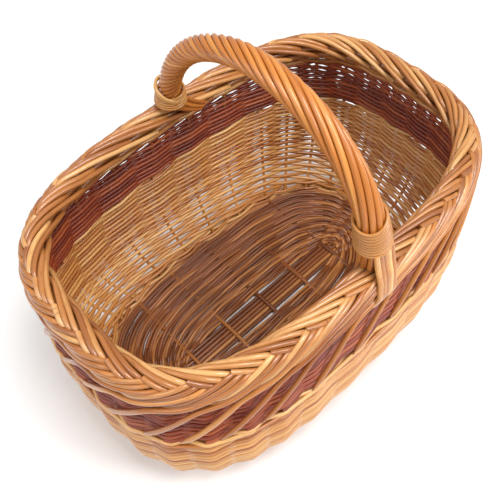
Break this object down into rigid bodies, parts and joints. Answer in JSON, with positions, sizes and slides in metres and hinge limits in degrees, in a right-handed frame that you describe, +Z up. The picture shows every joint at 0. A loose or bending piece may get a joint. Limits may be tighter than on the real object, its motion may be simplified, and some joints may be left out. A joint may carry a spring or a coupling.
{
  "type": "woven market basket",
  "caption": "Oval woven willow market basket with a stained band, a plaited border and a fixed bow handle across the middle.",
  "frame": {"origin": "middle of the footprint, on the surface the basket stands on", "axes": "+X along the basket, +Y across it in the plane of the bow handle, +Z up out of the mouth"},
  "size_m": [0.476, 0.325, 0.3891],
  "materials": {
    "buff_willow": "peeled honey-coloured willow rods, satin with pale highlights",
    "stained_willow": "willow rods stained dark red-brown, satin",
    "base_willow": "peeled willow, browner and duller than the sides",
    "split_willow": "thin pale split willow, satin"
  },
  "bodies": {
    "root": {"base_long_stick_1": "base_willow", "base_long_stick_2": "base_willow", "base_long_stick_3": "base_willow", "base_long_stick_4": "base_willow", "base_long_stick_5": "base_willow", "base_long_stick_6": "base_willow", "base_cross_stick_1": "base_willow", "base_cross_stick_2": "base_willow", "base_cross_stick_3": "base_willow", "base_cross_stick_4": "base_willow", "base_cross_stick_5": "base_willow", "base_weave": "base_willow", "stake_01": "buff_willow", "stake_02": "buff_willow", "stake_03": "buff_willow", "stake_04": "buff_willow", "stake_05": "buff_willow", "stake_06": "buff_willow", "stake_07": "buff_willow", "stake_08": "buff_willow", "stake_09": "buff_willow", "stake_10": "buff_willow", "stake_11": "buff_willow", "stake_12": "buff_willow", "stake_13": "buff_willow", "stake_14": "buff_willow", "stake_15": "buff_willow", "stake_16": "buff_willow", "stake_17": "buff_willow", "stake_18": "buff_willow", "stake_19": "buff_willow", "stake_20": "buff_willow", "stake_21": "buff_willow", "stake_22": "buff_willow", "stake_23": "buff_willow", "stake_24": "buff_willow", "stake_25": "buff_willow", "stake_26": "buff_willow", "stake_27": "buff_willow", "stake_28": "buff_willow", "stake_29": "buff_willow", "stake_30": "buff_willow", "stake_31": "buff_willow", "stake_32": "buff_willow", "foot_wale": "buff_willow", "lower_weave": "buff_willow", "red_band": "stained_willow", "upper_wale": "buff_willow", "plaited_border": "buff_willow", "bow_core": "buff_willow", "bow_wrap_rod_1": "buff_willow", "bow_wrap_rod_2": "buff_willow", "bow_wrap_rod_3": "buff_willow", "bow_wrap_rod_4": "buff_willow", "bow_wrap_rod_5": "buff_willow", "bow_wrap_rod_6": "buff_willow", "bow_wrap_rod_7": "buff_willow", "bow_wrap_rod_8": "buff_willow", "bow_binding_near": "split_willow", "bow_binding_far": "split_willow"}
  },
  "joints": []
}
